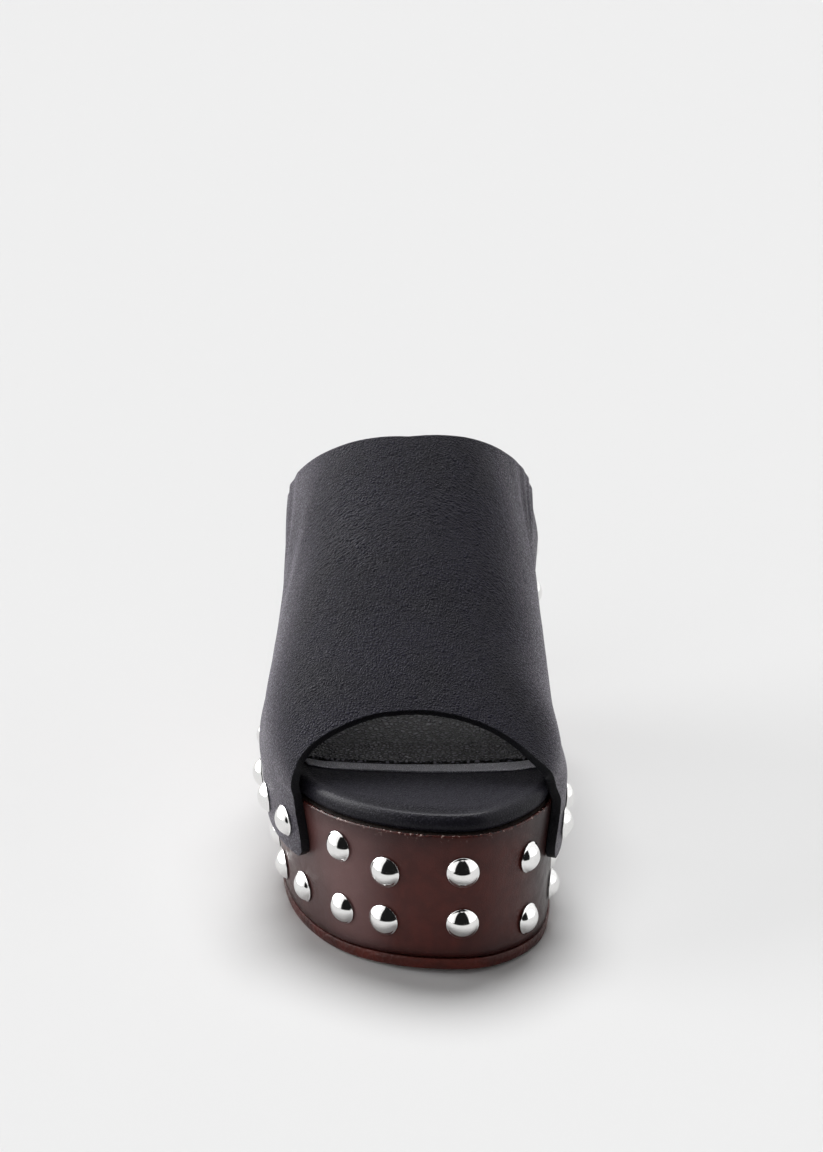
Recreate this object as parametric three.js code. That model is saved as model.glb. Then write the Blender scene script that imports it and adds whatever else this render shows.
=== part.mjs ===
// Open-toe, open-back platform clog for a right foot, in millimetres.
// The toe points to -Y, the heel to +Y, up is +Z and the medial side is +X.
// Shapes are laid out in a frame whose zero is the toe tip on the floor.
// The whole group is moved at the end so that its box stands centred on the origin.
import * as THREE from 'three';

// Driving sizes
const length = 229.0;
const ballWidth = 90.0;
const toeHeight = 46.0;
const heelHeight = 96.0;
const vampRise = 69.0;
const outsoleThick = 3.3;
const heelTipThick = 5.0;
const toeSpring = 2.5;
const springEnd = 34.0;
const archStart = 92.0;
const archTop = 50.0;
const breastTop = 150.0;
const breastFoot = 155.0;
const outsoleEnd = 148.2;
const outsoleFlange = 0.4;
const breastClear = 0.6;
const wrapThick = 1.2;
const gap = 0.3;
const insoleThick = 6.0;
const sockThick = 1.2;
const sockStart = 41.0;
const sockInset = 10.0;
const leatherThick = 2.8;
const leatherOver = 18.0;
const feather = 10.0;
const fullness = 2.44;
const featherShare = 0.36;
const studRadius = 4.9;
const studHeight = 3.0;
const studLift = 0.25;
const studLiftWaist = 0.45;

// Top edge of the platform, as shares of the length and of the ball width, with the
// inward lean of the lateral wall and of the medial wall per millimetre of drop.
const outlineTable = [
  { along: 0.0000, lateral: 0.1444, medial: 0.1444, leanLateral: 0.050, leanMedial: 0.050 },
  { along: 0.0087, lateral: 0.0000, medial: 0.2500, leanLateral: 0.052, leanMedial: 0.050 },
  { along: 0.0306, lateral: -0.1222, medial: 0.3222, leanLateral: 0.060, leanMedial: 0.050 },
  { along: 0.0655, lateral: -0.2389, medial: 0.3933, leanLateral: 0.072, leanMedial: 0.050 },
  { along: 0.1135, lateral: -0.3356, medial: 0.4556, leanLateral: 0.085, leanMedial: 0.052 },
  { along: 0.1834, lateral: -0.4256, medial: 0.4933, leanLateral: 0.095, leanMedial: 0.056 },
  { along: 0.2707, lateral: -0.4844, medial: 0.5022, leanLateral: 0.100, leanMedial: 0.060 },
  { along: 0.3581, lateral: -0.5022, medial: 0.4733, leanLateral: 0.100, leanMedial: 0.062 },
  { along: 0.4585, lateral: -0.4722, medial: 0.4178, leanLateral: 0.095, leanMedial: 0.062 },
  { along: 0.5677, lateral: -0.4111, medial: 0.3911, leanLateral: 0.085, leanMedial: 0.062 },
  { along: 0.6769, lateral: -0.3422, medial: 0.4244, leanLateral: 0.075, leanMedial: 0.063 },
  { along: 0.7773, lateral: -0.2978, medial: 0.4556, leanLateral: 0.070, leanMedial: 0.064 },
  { along: 0.8734, lateral: -0.2689, medial: 0.4400, leanLateral: 0.065, leanMedial: 0.065 },
  { along: 0.9432, lateral: -0.1944, medial: 0.3611, leanLateral: 0.065, leanMedial: 0.065 },
  { along: 0.9825, lateral: -0.0833, medial: 0.2500, leanLateral: 0.065, leanMedial: 0.065 },
  { along: 1.0000, lateral: 0.0889, medial: 0.0889, leanLateral: 0.065, leanMedial: 0.065 },
];

// Height of that edge along the shoe: 0 is the toe height and 1 is the heel height.
const topTable = [
  { along: 0.0000, up: 0.0000 },
  { along: 0.1092, up: -0.0200 },
  { along: 0.2183, up: -0.0240 },
  { along: 0.3057, up: 0.0000 },
  { along: 0.3930, up: 0.1040 },
  { along: 0.5240, up: 0.3640 },
  { along: 0.6550, up: 0.6440 },
  { along: 0.7424, up: 0.8160 },
  { along: 0.8297, up: 0.9280 },
  { along: 0.9170, up: 0.9800 },
  { along: 1.0000, up: 1.0000 },
];

// Underside of the outsole in the arch, as shares of the arch length and of its height.
const archTable = [
  { along: 0.0, up: 0.0 },
  { along: 0.16, up: 0.045 },
  { along: 0.4, up: 0.30 },
  { along: 0.65, up: 0.68 },
  { along: 0.85, up: 0.93 },
  { along: 1.0, up: 1.0 },
];

// Cross sections of the upper: crest as a share of the vamp rise over the platform edge,
// its middle and the widest half widths as shares of the ball width, and the height of its
// widest line over the edge as a share of the feather height.
const sectionTable = [
  { along: 0.0000, crest: -0.0580, middle: 0.1444, lateral: -0.1111, medial: 0.1778, feather: 0.55 },
  { along: 0.0655, crest: 0.1101, middle: 0.0889, lateral: 0.2833, medial: 0.4289, feather: 0.55 },
  { along: 0.1310, crest: 0.2609, middle: 0.0556, lateral: 0.4035, medial: 0.4860, feather: 0.60 },
  { along: 0.1965, crest: 0.4294, middle: 0.0333, lateral: 0.4739, medial: 0.5143, feather: 0.75 },
  { along: 0.2838, crest: 0.6329, middle: 0.0167, lateral: 0.5144, medial: 0.4953, feather: 0.95 },
  { along: 0.3712, crest: 0.8054, middle: 0.0000, lateral: 0.4963, medial: 0.4820, feather: 1.05 },
  { along: 0.4585, crest: 0.9231, middle: -0.0056, lateral: 0.4717, medial: 0.4641, feather: 1.20 },
  { along: 0.5546, crest: 1.0219, middle: -0.0111, lateral: 0.4582, medial: 0.4397, feather: 1.40 },
  { along: 0.6550, crest: 1.0568, middle: -0.0111, lateral: 0.4582, medial: 0.4468, feather: 1.65 },
  { along: 0.7860, crest: 1.0217, middle: 0.0000, lateral: 0.4222, medial: 0.4667, feather: 1.80 },
];

// Edges of the upper, as shares of the length.
// Girth runs from the lower edge (0) over the feather line to the crest (1).
const mouthTable = [
  { girth: 0.000, lateral: 0.1354, medial: 0.1275 },
  { girth: 0.025, lateral: 0.1275, medial: 0.1188 },
  { girth: 0.060, lateral: 0.1245, medial: 0.1162 },
  { girth: 0.120, lateral: 0.1249, medial: 0.1210 },
  { girth: 0.220, lateral: 0.1328, medial: 0.1395 },
  { girth: 0.320, lateral: 0.1319, medial: 0.1371 },
  { girth: 0.420, lateral: 0.1293, medial: 0.1322 },
  { girth: 0.520, lateral: 0.1347, medial: 0.1284 },
  { girth: 0.600, lateral: 0.1435, medial: 0.1304 },
  { girth: 0.680, lateral: 0.1520, medial: 0.1358 },
  { girth: 0.760, lateral: 0.1598, medial: 0.1468 },
  { girth: 0.840, lateral: 0.1673, medial: 0.1589 },
  { girth: 0.920, lateral: 0.1743, medial: 0.1688 },
  { girth: 1.000, lateral: 0.1762, medial: 0.1762 },
];
const toplineTable = [
  { girth: 0.000, lateral: 0.7118, medial: 0.7205 },
  { girth: 0.160, lateral: 0.7162, medial: 0.7271 },
  { girth: 0.300, lateral: 0.6972, medial: 0.7123 },
  { girth: 0.426, lateral: 0.6605, medial: 0.6739 },
  { girth: 0.522, lateral: 0.6215, medial: 0.6385 },
  { girth: 0.607, lateral: 0.5934, medial: 0.6078 },
  { girth: 0.704, lateral: 0.5650, medial: 0.5778 },
  { girth: 0.795, lateral: 0.5459, medial: 0.5567 },
  { girth: 0.900, lateral: 0.5348, medial: 0.5404 },
  { girth: 1.000, lateral: 0.5310, medial: 0.5310 },
];

// Nailed studs: distance as a share of the length, drop as a share of the toe height.
const studTable = {
  upper_lateral: [
    { along: 0.0236, drop: 0.298 },
    { along: 0.0690, drop: 0.200 },
    { along: 0.1638, drop: 0.187 },
    { along: 0.2515, drop: 0.204 },
    { along: 0.3245, drop: 0.217 },
    { along: 0.4061, drop: 0.217 },
    { along: 0.4891, drop: 0.217 },
    { along: 0.5721, drop: 0.217 },
    { along: 0.6572, drop: 0.217 },
    { along: 0.7511, drop: 0.261 },
    { along: 0.8472, drop: 0.261 },
    { along: 0.9389, drop: 0.261 },
  ],
  upper_medial: [
    { along: 0.0004, drop: 0.257 },
    { along: 0.0681, drop: 0.274 },
    { along: 0.1721, drop: 0.226 },
    { along: 0.2541, drop: 0.217 },
    { along: 0.3384, drop: 0.217 },
    { along: 0.4236, drop: 0.217 },
    { along: 0.5087, drop: 0.217 },
    { along: 0.5939, drop: 0.217 },
    { along: 0.6747, drop: 0.217 },
    { along: 0.7773, drop: 0.261 },
    { along: 0.8690, drop: 0.261 },
    { along: 0.9563, drop: 0.261 },
  ],
  lower_lateral: [
    { along: 0.0258, drop: 0.650 },
    { along: 0.0690, drop: 0.652 },
    { along: 0.1537, drop: 0.663 },
    { along: 0.2511, drop: 0.707 },
    { along: 0.3362, drop: 0.696 },
    { along: 0.4323, drop: 0.696 },
    { along: 0.7511, drop: 0.783 },
    { along: 0.8472, drop: 0.783 },
    { along: 0.9389, drop: 0.783 },
  ],
  lower_medial: [
    { along: 0.0004, drop: 0.624 },
    { along: 0.0725, drop: 0.726 },
    { along: 0.1834, drop: 0.696 },
    { along: 0.2795, drop: 0.696 },
    { along: 0.3843, drop: 0.696 },
    { along: 0.7773, drop: 0.783 },
    { along: 0.8690, drop: 0.783 },
    { along: 0.9563, drop: 0.783 },
  ],
};

// Cubic through a table of points; the slopes are weighted means of the chords.
function curve(xs, ys, firstSlope, lastSlope) {
  const count = xs.length;
  const slopes = new Array(count).fill(0);
  for (let i = 1; i < count - 1; i += 1) {
    const before = xs[i] - xs[i - 1];
    const after = xs[i + 1] - xs[i];
    const chordBefore = (ys[i] - ys[i - 1]) / before;
    const chordAfter = (ys[i + 1] - ys[i]) / after;
    slopes[i] = (chordBefore * after + chordAfter * before) / (before + after);
  }
  slopes[0] = (ys[1] - ys[0]) / (xs[1] - xs[0]);
  slopes[count - 1] = (ys[count - 1] - ys[count - 2]) / (xs[count - 1] - xs[count - 2]);
  if (firstSlope !== undefined) {
    slopes[0] = firstSlope;
  }
  if (lastSlope !== undefined) {
    slopes[count - 1] = lastSlope;
  }
  return (x) => {
    const clamped = Math.min(Math.max(x, xs[0]), xs[count - 1]);
    let i = 0;
    while (i < count - 2 && clamped > xs[i + 1]) {
      i += 1;
    }
    const width = xs[i + 1] - xs[i];
    const t = (clamped - xs[i]) / width;
    const rise = ys[i + 1] - ys[i];
    const a = slopes[i] * width - rise;
    const b = rise - slopes[i + 1] * width;
    return ys[i] + rise * t + t * (1 - t) * (a * (1 - t) + b * t);
  };
}

function column(table, name) {
  return table.map((row) => row[name]);
}

function sized(table, name, size) {
  return table.map((row) => row[name] * size);
}

// A share of the way round the outline, 0 at the toe tip and 1 at the back of the heel.
function shareOf(y) {
  return Math.acos(Math.min(Math.max(1 - (2 * y) / length, -1), 1)) / Math.PI;
}

function alongOf(share) {
  return (length * (1 - Math.cos(Math.PI * share))) / 2;
}

const outlineShares = sized(outlineTable, 'along', length).map(shareOf);

function edgeCurve(near, far) {
  const own = sized(outlineTable, near, ballWidth);
  const other = sized(outlineTable, far, ballWidth);
  const last = own.length - 1;
  const first = (own[1] - other[1]) / (2 * outlineShares[1]);
  const end = -(own[last - 1] - other[last - 1]) / (2 * (1 - outlineShares[last - 1]));
  return curve(outlineShares, own, first, end);
}

const edges = {
  lateral: edgeCurve('lateral', 'medial'),
  medial: edgeCurve('medial', 'lateral'),
};
const leans = {
  lateral: curve(outlineShares, column(outlineTable, 'leanLateral')),
  medial: curve(outlineShares, column(outlineTable, 'leanMedial')),
};
const topShare = curve(sized(topTable, 'along', length), column(topTable, 'up'));

function topHeight(y) {
  return toeHeight + (heelHeight - toeHeight) * topShare(y);
}

const archCurve = curve(column(archTable, 'along'), column(archTable, 'up'), 0, 0);

// Underside of the outsole along the shoe.
function floorHeight(y) {
  if (y < springEnd) {
    return toeSpring * (1 - y / springEnd) ** 2;
  }
  if (y < archStart) {
    return 0;
  }
  return archTop * archCurve((y - archStart) / (breastTop - archStart));
}

// Underside of the platform block: over the outsole, then down the breast to the heel tip.
function blockBottom(y) {
  const arch = floorHeight(y) + outsoleThick + gap;
  if (y <= breastTop) {
    return arch;
  }
  const share = Math.min((y - breastTop) / (breastFoot - breastTop), 1);
  const roof = archTop + outsoleThick + gap;
  return roof + (heelTipThick + gap - roof) * share;
}

// Plan normal of the outline, pointing out of the shoe.
function normalAt(side, share) {
  if (share <= 0) {
    return [0, -1];
  }
  if (share >= 1) {
    return [0, 1];
  }
  const step = 1e-3;
  const a = Math.max(share - step, 0);
  const b = Math.min(share + step, 1);
  const dx = edges[side](b) - edges[side](a);
  const dy = alongOf(b) - alongOf(a);
  const size = Math.hypot(dx, dy);
  const sign = side === 'lateral' ? -1 : 1;
  return [(sign * dy) / size, (-sign * dx) / size];
}

// Point of the platform's side wall at a drop below its top edge, moved out by an offset.
function wallPoint(side, share, drop, offset) {
  const [nx, ny] = normalAt(side, share);
  const out = offset - leans[side](share) * drop;
  const y = alongOf(share);
  return [edges[side](share) + nx * out, y + ny * out, topHeight(y) - drop];
}

const sectionY = sized(sectionTable, 'along', length);
const sections = {
  crest: curve(sectionY, sized(sectionTable, 'crest', vampRise)),
  middle: curve(sectionY, sized(sectionTable, 'middle', ballWidth)),
  lateral: curve(sectionY, sized(sectionTable, 'lateral', ballWidth)),
  medial: curve(sectionY, sized(sectionTable, 'medial', ballWidth)),
  feather: curve(sectionY, sized(sectionTable, 'feather', feather)),
};
const mouthGirths = column(mouthTable, 'girth');
const toplineGirths = column(toplineTable, 'girth');
const mouth = {
  lateral: curve(mouthGirths, sized(mouthTable, 'lateral', length)),
  medial: curve(mouthGirths, sized(mouthTable, 'medial', length)),
};
const topline = {
  lateral: curve(toplineGirths, sized(toplineTable, 'lateral', length)),
  medial: curve(toplineGirths, sized(toplineTable, 'medial', length)),
};

// Outer face of the upper: down the platform's wall, a soft feather line, then an arch over the foot.
function upperPoint(side, y, girth) {
  const share = shareOf(y);
  const sign = side === 'lateral' ? -1 : 1;
  const edge = topHeight(y);
  const wide = sign * sections[side](y);
  const widest = sections.feather(y);
  if (girth <= featherShare) {
    const drop = leatherOver - (leatherOver + widest) * (girth / featherShare);
    const base = wallPoint(side, share, Math.max(drop, 0), leatherThick + gap);
    const lift = Math.max(-drop / widest, 0);
    const blend = lift * lift * (3 - 2 * lift);
    return [base[0] + (wide - base[0]) * blend, base[1], edge - drop];
  }
  const base = wallPoint(side, share, 0, leatherThick + gap);
  const arch = (girth - featherShare) / (1 - featherShare);
  const angle = (Math.PI / 2) * arch ** (fullness / 2);
  const across = Math.max(Math.cos(angle), 0) ** (2 / fullness);
  const up = Math.max(Math.sin(angle), 0) ** (2 / fullness);
  const middle = sections.middle(y);
  const x = middle + (wide - middle) * across;
  const z = edge + widest + (sections.crest(y) - widest) * up;
  return [x, y + (base[1] - y) * Math.max(Math.cos(angle), 0), z];
}

// Point where a side wall meets the underside of the block.
function bottomPoint(side, share, offset) {
  const y = alongOf(share);
  const point = wallPoint(side, share, topHeight(y) - blockBottom(y), offset);
  if (y <= breastTop) {
    point[2] = blockBottom(Math.min(point[1], breastTop));
  }
  return point;
}

// Solid from indexed points and triangles.
function solid(points, faces) {
  const geometry = new THREE.BufferGeometry();
  geometry.setAttribute('position', new THREE.Float32BufferAttribute(points.flat(), 3));
  geometry.setIndex(faces.flat());
  geometry.computeVertexNormals();
  return geometry;
}

// Closed solid of stacked loops. Each loop goes round the outline over the lateral side
// from toe to heel and back over the medial side. The end loops are closed by ladders.
function stack(shares, loops) {
  const last = shares.length - 1;
  const ring = 2 * last;
  const points = loops.flat();
  const faces = [];
  for (let k = 0; k + 1 < loops.length; k += 1) {
    for (let i = 0; i < ring; i += 1) {
      const j = (i + 1) % ring;
      const a = k * ring + i;
      const b = k * ring + j;
      const c = (k + 1) * ring + j;
      const d = (k + 1) * ring + i;
      faces.push([a, b, c], [a, c, d]);
    }
  }
  const cap = (start, flip) => {
    for (let i = 0; i < last; i += 1) {
      const a = start + i;
      const b = start + i + 1;
      const c = start + ((ring - i - 1) % ring);
      const d = start + ((ring - i) % ring);
      const quad = [];
      if (b !== c) {
        quad.push([a, b, c]);
      }
      if (a !== d) {
        quad.push([a, c, d]);
      }
      quad.forEach((face) => faces.push(flip ? [face[0], face[2], face[1]] : face));
    }
  };
  cap(0, true);
  cap((loops.length - 1) * ring, false);
  return solid(points, faces);
}

function loopOf(shares, place) {
  const last = shares.length - 1;
  const loop = [];
  for (let i = 0; i <= last; i += 1) {
    loop.push(place('lateral', shares[i]));
  }
  for (let i = last - 1; i > 0; i -= 1) {
    loop.push(place('medial', shares[i]));
  }
  return loop;
}

function evenShares(count, extra) {
  const list = [];
  for (let i = 0; i <= count; i += 1) {
    list.push(i / count);
  }
  const named = extra.map(shareOf);
  const kept = list.filter((s) => named.every((n) => Math.abs(n - s) > 0.35 / count));
  return kept.concat(named).sort((a, b) => a - b);
}

const roundShares = evenShares(36, [springEnd, archStart, outsoleEnd, breastTop, breastFoot]);

// Platform block with its arch and block heel in one piece.
function makePlatform() {
  const inner = -wrapThick - gap;
  const shares = roundShares;
  const bottom = loopOf(shares, (side, s) => bottomPoint(side, s, inner));
  const top = loopOf(shares, (side, s) => wallPoint(side, s, gap, inner));
  return stack(shares, [top, bottom]);
}

// Leather skin round the block, an open band.
function makeWrap() {
  const shares = roundShares;
  const ring = 2 * (shares.length - 1);
  const loops = [
    loopOf(shares, (side, s) => wallPoint(side, s, 0, 0)),
    loopOf(shares, (side, s) => bottomPoint(side, s, 0)),
    loopOf(shares, (side, s) => bottomPoint(side, s, -wrapThick)),
    loopOf(shares, (side, s) => wallPoint(side, s, 0, -wrapThick)),
  ];
  const faces = [];
  for (let k = 0; k < 4; k += 1) {
    for (let i = 0; i < ring; i += 1) {
      const j = (i + 1) % ring;
      const next = (k + 1) % 4;
      faces.push([k * ring + i, k * ring + j, next * ring + j]);
      faces.push([k * ring + i, next * ring + j, next * ring + i]);
    }
  }
  return solid(loops.flat(), faces);
}

// Solid between two loops whose ladder stops or starts at a given share of the outline.
function partSole(shares, lowZ, highZ, offset) {
  const closedToe = shares[0] === 0;
  const closedHeel = shares[shares.length - 1] === 1;
  const points = [];
  const index = new Map();
  const at = (level, side, i) => {
    const s = shares[i];
    const name = s === 0 || s === 1 ? `${level}-${i}` : `${level}-${side}-${i}`;
    if (!index.has(name)) {
      const y = alongOf(s);
      const height = level === 'high' ? highZ : lowZ;
      const point = wallPoint(side, s, topHeight(y) - height(y), offset);
      point[2] = height(point[1]);
      index.set(name, points.length);
      points.push(point);
    }
    return index.get(name);
  };
  const faces = [];
  const add = (a, b, c) => {
    if (a !== b && b !== c && a !== c) {
      faces.push([a, b, c]);
    }
  };
  const quad = (a, b, c, d) => {
    add(a, b, c);
    add(a, c, d);
  };
  for (let i = 0; i + 1 < shares.length; i += 1) {
    const j = i + 1;
    quad(at('high', 'lateral', i), at('high', 'medial', i), at('high', 'medial', j), at('high', 'lateral', j));
    quad(at('low', 'medial', i), at('low', 'lateral', i), at('low', 'lateral', j), at('low', 'medial', j));
    quad(at('low', 'lateral', i), at('high', 'lateral', i), at('high', 'lateral', j), at('low', 'lateral', j));
    quad(at('high', 'medial', i), at('low', 'medial', i), at('low', 'medial', j), at('high', 'medial', j));
  }
  if (!closedToe) {
    quad(at('low', 'lateral', 0), at('low', 'medial', 0), at('high', 'medial', 0), at('high', 'lateral', 0));
  }
  if (!closedHeel) {
    const n = shares.length - 1;
    quad(at('low', 'medial', n), at('low', 'lateral', n), at('high', 'lateral', n), at('high', 'medial', n));
  }
  return solid(points, faces);
}

function makeOutsole() {
  const shares = roundShares.filter((s) => s <= shareOf(outsoleEnd));
  return partSole(shares, floorHeight, (y) => floorHeight(y) + outsoleThick, outsoleFlange);
}

function makeHeelTip() {
  const start = shareOf(breastFoot + breastClear);
  const shares = [start].concat(roundShares.filter((s) => s > start + 0.01));
  return partSole(shares, () => 0, () => heelTipThick, 0);
}

// Padded insole: rolled edge, a shallow crease inside the roll and a low crown.
const insoleProfile = [
  { inset: 3.0, up: 0.0 },
  { inset: 1.5, up: 0.13 },
  { inset: 1.1, up: 0.42 },
  { inset: 2.0, up: 0.72 },
  { inset: 3.6, up: 0.95 },
  { inset: 5.4, up: 1.0 },
  { inset: 8.0, up: 0.9 },
  { inset: 9.6, up: 0.8 },
  { inset: 12.0, up: 0.88 },
];

function insolePoint(side, share, row) {
  const y = alongOf(share);
  const point = wallPoint(side, share, 0, -row.inset);
  return [point[0], point[1], topHeight(y) + gap + insoleThick * row.up];
}

const padShares = evenShares(32, []);

function makeInsole() {
  const loops = insoleProfile.map((row) => loopOf(padShares, (side, s) => insolePoint(side, s, row)));
  return stack(padShares, loops.reverse());
}

// Sock on top of the insole, from its seam at the ball of the foot to the heel.
function makeSock() {
  const start = shareOf(sockStart);
  const shares = [start].concat(padShares.filter((s) => s > start + 0.012));
  const crown = (y) => topHeight(y) + gap + insoleThick * insoleProfile[insoleProfile.length - 1].up;
  const points = [];
  const faces = [];
  const index = new Map();
  const at = (level, side, i) => {
    const s = shares[i];
    const name = s === 1 ? `${level}-${i}` : `${level}-${side}-${i}`;
    if (!index.has(name)) {
      const point = wallPoint(side, s, 0, -sockInset);
      index.set(name, points.length);
      points.push([point[0], point[1], crown(alongOf(s)) + gap + (level === 'high' ? sockThick : 0)]);
    }
    return index.get(name);
  };
  const quad = (a, b, c, d) => {
    if (a !== b && b !== c) {
      faces.push([a, b, c]);
    }
    if (c !== d && d !== a) {
      faces.push([a, c, d]);
    }
  };
  for (let i = 0; i + 1 < shares.length; i += 1) {
    const j = i + 1;
    quad(at('high', 'lateral', i), at('high', 'medial', i), at('high', 'medial', j), at('high', 'lateral', j));
    quad(at('low', 'medial', i), at('low', 'lateral', i), at('low', 'lateral', j), at('low', 'medial', j));
    quad(at('low', 'lateral', i), at('high', 'lateral', i), at('high', 'lateral', j), at('low', 'lateral', j));
    quad(at('high', 'medial', i), at('low', 'medial', i), at('low', 'medial', j), at('high', 'medial', j));
  }
  quad(at('low', 'lateral', 0), at('low', 'medial', 0), at('high', 'medial', 0), at('high', 'lateral', 0));
  return solid(points, faces);
}

// The upper is one hollow leather shell: open at the toe, at the collar and back, and underneath.
const girthSteps = 18;
const lengthSteps = 18;

function makeUpper() {
  const columns = [];
  for (let i = 0; i <= girthSteps; i += 1) {
    columns.push(['lateral', i / girthSteps]);
  }
  for (let i = girthSteps - 1; i >= 0; i -= 1) {
    columns.push(['medial', i / girthSteps]);
  }
  const wide = columns.length;
  const outer = [];
  const inner = [];
  for (let row = 0; row <= lengthSteps; row += 1) {
    for (const [side, girth] of columns) {
      const front = mouth[side](girth);
      const y = front + (topline[side](girth) - front) * (row / lengthSteps);
      const step = 0.004;
      const low = Math.max(girth - step, 0);
      const high = Math.min(girth + step, 1);
      const here = upperPoint(side, y, girth);
      const a = new THREE.Vector3(...upperPoint(side, y, low));
      const b = new THREE.Vector3(...upperPoint(side, y, high));
      const c = new THREE.Vector3(...upperPoint(side, y - 0.5, girth));
      const d = new THREE.Vector3(...upperPoint(side, y + 0.5, girth));
      const normal = new THREE.Vector3().crossVectors(b.sub(a), d.sub(c)).normalize();
      if (side === 'medial') {
        normal.negate();
      }
      if (girth === 1) {
        normal.x = 0;
        normal.normalize();
      }
      outer.push(here);
      inner.push([
        here[0] - normal.x * leatherThick,
        here[1] - normal.y * leatherThick,
        here[2] - normal.z * leatherThick,
      ]);
    }
  }
  const points = outer.concat(inner);
  const shift = outer.length;
  const faces = [];
  for (let row = 0; row < lengthSteps; row += 1) {
    for (let k = 0; k + 1 < wide; k += 1) {
      const a = row * wide + k;
      const b = a + 1;
      const c = b + wide;
      const d = a + wide;
      faces.push([a, b, c], [a, c, d]);
      faces.push([a + shift, c + shift, b + shift], [a + shift, d + shift, c + shift]);
    }
  }
  const rim = [];
  for (let k = 0; k < wide; k += 1) {
    rim.push(k);
  }
  for (let row = 1; row <= lengthSteps; row += 1) {
    rim.push(row * wide + wide - 1);
  }
  for (let k = wide - 2; k >= 0; k -= 1) {
    rim.push(lengthSteps * wide + k);
  }
  for (let row = lengthSteps - 1; row > 0; row -= 1) {
    rim.push(row * wide);
  }
  for (let i = 0; i < rim.length; i += 1) {
    const a = rim[i];
    const b = rim[(i + 1) % rim.length];
    faces.push([b, a, a + shift], [b, a + shift, b + shift]);
  }
  return solid(points, faces);
}

// Domed stud with a flat back, set square to the wall it is nailed to.
const studSides = 12;
const studProfile = [
  { radius: 1.0, up: 0.0 },
  { radius: 0.97, up: 0.22 },
  { radius: 0.8, up: 0.62 },
  { radius: 0.45, up: 0.92 },
];

function makeStud(place, aim) {
  const axis = new THREE.Vector3(...aim).normalize();
  const turn = new THREE.Quaternion().setFromUnitVectors(new THREE.Vector3(0, 0, 1), axis);
  const base = new THREE.Vector3(...place);
  const local = [];
  for (const row of studProfile) {
    for (let i = 0; i < studSides; i += 1) {
      const angle = (2 * Math.PI * i) / studSides;
      const radius = studRadius * row.radius;
      local.push([radius * Math.cos(angle), radius * Math.sin(angle), studHeight * row.up]);
    }
  }
  local.push([0, 0, studHeight]);
  const faces = [];
  for (let k = 0; k + 1 < studProfile.length; k += 1) {
    for (let i = 0; i < studSides; i += 1) {
      const j = (i + 1) % studSides;
      const a = k * studSides + i;
      const b = k * studSides + j;
      faces.push([a, b, b + studSides], [a, b + studSides, a + studSides]);
    }
  }
  const lastRow = (studProfile.length - 1) * studSides;
  for (let i = 0; i < studSides; i += 1) {
    faces.push([lastRow + i, lastRow + ((i + 1) % studSides), local.length - 1]);
  }
  for (let i = 1; i + 1 < studSides; i += 1) {
    faces.push([0, i + 1, i]);
  }
  const points = local.map((p) => {
    const moved = new THREE.Vector3(...p).applyQuaternion(turn).add(base);
    return [moved.x, moved.y, moved.z];
  });
  return solid(points, faces);
}

// A stud sits on the leather where the upper covers the wall, and on the wall elsewhere.
function studPlace(side, y, drop) {
  const share = shareOf(y);
  const girth = (featherShare * (leatherOver - drop)) / (leatherOver + sections.feather(y));
  const onLeather = girth > 0 && y > mouth[side](girth) && y < topline[side](girth);
  const face = onLeather ? leatherThick + gap : 0;
  const [nx, ny] = normalAt(side, share);
  const lean = leans[side](share);
  const lift = y > archStart && y < breastFoot ? studLiftWaist : studLift;
  const point = wallPoint(side, share, drop, face + lift);
  return { place: point, aim: [nx, ny, -lean] };
}

const finishes = {
  outsole: new THREE.MeshStandardMaterial({ color: 0x6b3f36, roughness: 0.5, metalness: 0 }),
  heelTip: new THREE.MeshStandardMaterial({ color: 0x2a2422, roughness: 0.7, metalness: 0 }),
  block: new THREE.MeshStandardMaterial({ color: 0x5a4238, roughness: 0.7, metalness: 0 }),
  wrap: new THREE.MeshStandardMaterial({ color: 0x4a2e2b, roughness: 0.35, metalness: 0 }),
  pad: new THREE.MeshStandardMaterial({ color: 0x17171a, roughness: 0.5, metalness: 0 }),
  sock: new THREE.MeshStandardMaterial({ color: 0x2b2b2e, roughness: 0.7, metalness: 0 }),
  leather: new THREE.MeshStandardMaterial({ color: 0x26252b, roughness: 0.5, metalness: 0 }),
  nickel: new THREE.MeshStandardMaterial({ color: 0xd8d8dc, roughness: 0.15, metalness: 1 }),
};

function build() {
  const group = new THREE.Group();
  group.name = 'platform_clog_right';
  const add = (name, geometry, finish) => {
    const mesh = new THREE.Mesh(geometry, finishes[finish]);
    mesh.name = name;
    group.add(mesh);
  };
  add('outsole', makeOutsole(), 'outsole');
  add('heel_tip', makeHeelTip(), 'heelTip');
  add('platform', makePlatform(), 'block');
  add('platform_wrap', makeWrap(), 'wrap');
  add('insole', makeInsole(), 'pad');
  add('sock', makeSock(), 'sock');
  add('upper', makeUpper(), 'leather');
  for (const [row, list] of Object.entries(studTable)) {
    const side = row.endsWith('lateral') ? 'lateral' : 'medial';
    list.forEach((stud, i) => {
      const { place, aim } = studPlace(side, stud.along * length, stud.drop * toeHeight);
      const number = String(i + 1).padStart(2, '0');
      add(`stud_${row}_${number}`, makeStud(place, aim), 'nickel');
    });
  }
  const box = new THREE.Box3().setFromObject(group);
  const shiftX = -(box.min.x + box.max.x) / 2;
  const shiftY = -(box.min.y + box.max.y) / 2;
  group.children.forEach((mesh) => mesh.geometry.translate(shiftX, shiftY, -box.min.z));
  return group;
}

export default build();
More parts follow.
